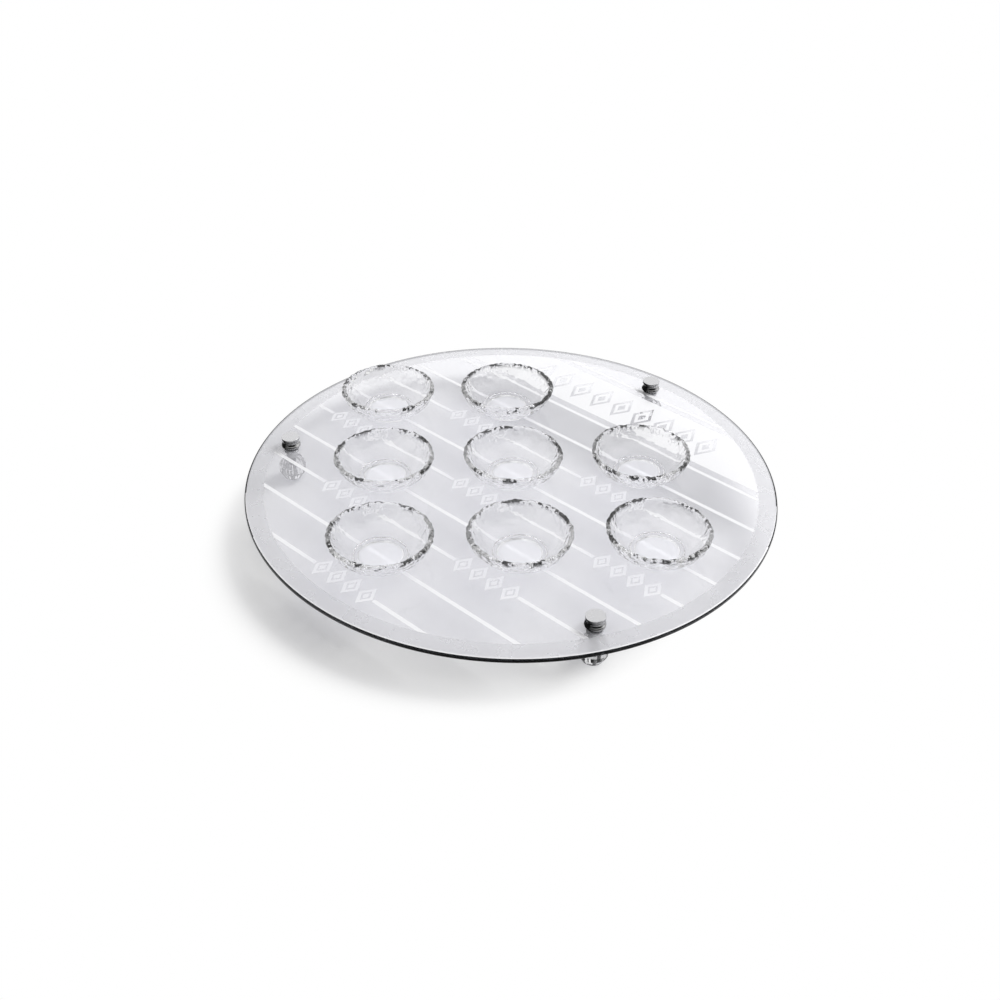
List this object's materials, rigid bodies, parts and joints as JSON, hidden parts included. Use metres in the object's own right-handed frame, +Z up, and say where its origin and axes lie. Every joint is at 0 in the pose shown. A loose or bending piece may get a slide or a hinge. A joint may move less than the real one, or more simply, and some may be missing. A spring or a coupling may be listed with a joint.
{
  "type": "rosh hashanah plate",
  "caption": "Round clear glass serving plate with a frosted striped print, standing on capped crystal-ball feet and carrying small loose glass bowls for symbolic foods.",
  "frame": {"origin": "on the table, under the middle of the plate", "axes": "+X along the printed lines, +Y towards the wide printed band, +Z up"},
  "size_m": [0.3999, 0.4, 0.0531],
  "materials": {
    "plate_glass": "clear float glass with a polished edge",
    "frosted_enamel": "translucent frosted enamel",
    "white_enamel": "opaque white enamel",
    "bowl_glass": "clear hand-finished glass",
    "crystal": "polished clear crystal",
    "cap_metal": "satin turned metal with a bright edge",
    "stud_steel": "plain threaded steel",
    "clear_plastic": "clear soft plastic"
  },
  "bodies": {
    "plate": {"plate_glass": "plate_glass", "frosted_print": "frosted_enamel", "white_print": "white_enamel", "foot_cap_back": "cap_metal", "foot_bush_back": "clear_plastic", "foot_gasket_back": "clear_plastic", "foot_stud_back": "stud_steel", "foot_collar_back": "cap_metal", "foot_crystal_back": "crystal", "foot_cap_left": "cap_metal", "foot_bush_left": "clear_plastic", "foot_gasket_left": "clear_plastic", "foot_stud_left": "stud_steel", "foot_collar_left": "cap_metal", "foot_crystal_left": "crystal", "foot_cap_right": "cap_metal", "foot_bush_right": "clear_plastic", "foot_gasket_right": "clear_plastic", "foot_stud_right": "stud_steel", "foot_collar_right": "cap_metal", "foot_crystal_right": "crystal"},
    "bowl_top_left": {"bowl_top_left": "bowl_glass"},
    "bowl_top_right": {"bowl_top_right": "bowl_glass"},
    "bowl_left": {"bowl_left": "bowl_glass"},
    "bowl_centre": {"bowl_centre": "bowl_glass"},
    "bowl_right": {"bowl_right": "bowl_glass"},
    "bowl_low_left": {"bowl_low_left": "bowl_glass"},
    "bowl_low_right": {"bowl_low_right": "bowl_glass"},
    "bowl_bottom": {"bowl_bottom": "bowl_glass"}
  },
  "joints": [
    {"name": "bowl_top_left_lift", "type": "slide", "parent": "plate", "child": "bowl_top_left", "axis": [0, 0, 1], "range_m": [0, 0.08]},
    {"name": "bowl_top_right_lift", "type": "slide", "parent": "plate", "child": "bowl_top_right", "axis": [0, 0, 1], "range_m": [0, 0.08]},
    {"name": "bowl_left_lift", "type": "slide", "parent": "plate", "child": "bowl_left", "axis": [0, 0, 1], "range_m": [0, 0.08]},
    {"name": "bowl_centre_lift", "type": "slide", "parent": "plate", "child": "bowl_centre", "axis": [0, 0, 1], "range_m": [0, 0.08]},
    {"name": "bowl_right_lift", "type": "slide", "parent": "plate", "child": "bowl_right", "axis": [0, 0, 1], "range_m": [0, 0.08]},
    {"name": "bowl_low_left_lift", "type": "slide", "parent": "plate", "child": "bowl_low_left", "axis": [0, 0, 1], "range_m": [0, 0.08]},
    {"name": "bowl_low_right_lift", "type": "slide", "parent": "plate", "child": "bowl_low_right", "axis": [0, 0, 1], "range_m": [0, 0.08]},
    {"name": "bowl_bottom_lift", "type": "slide", "parent": "plate", "child": "bowl_bottom", "axis": [0, 0, 1], "range_m": [0, 0.08]}
  ]
}
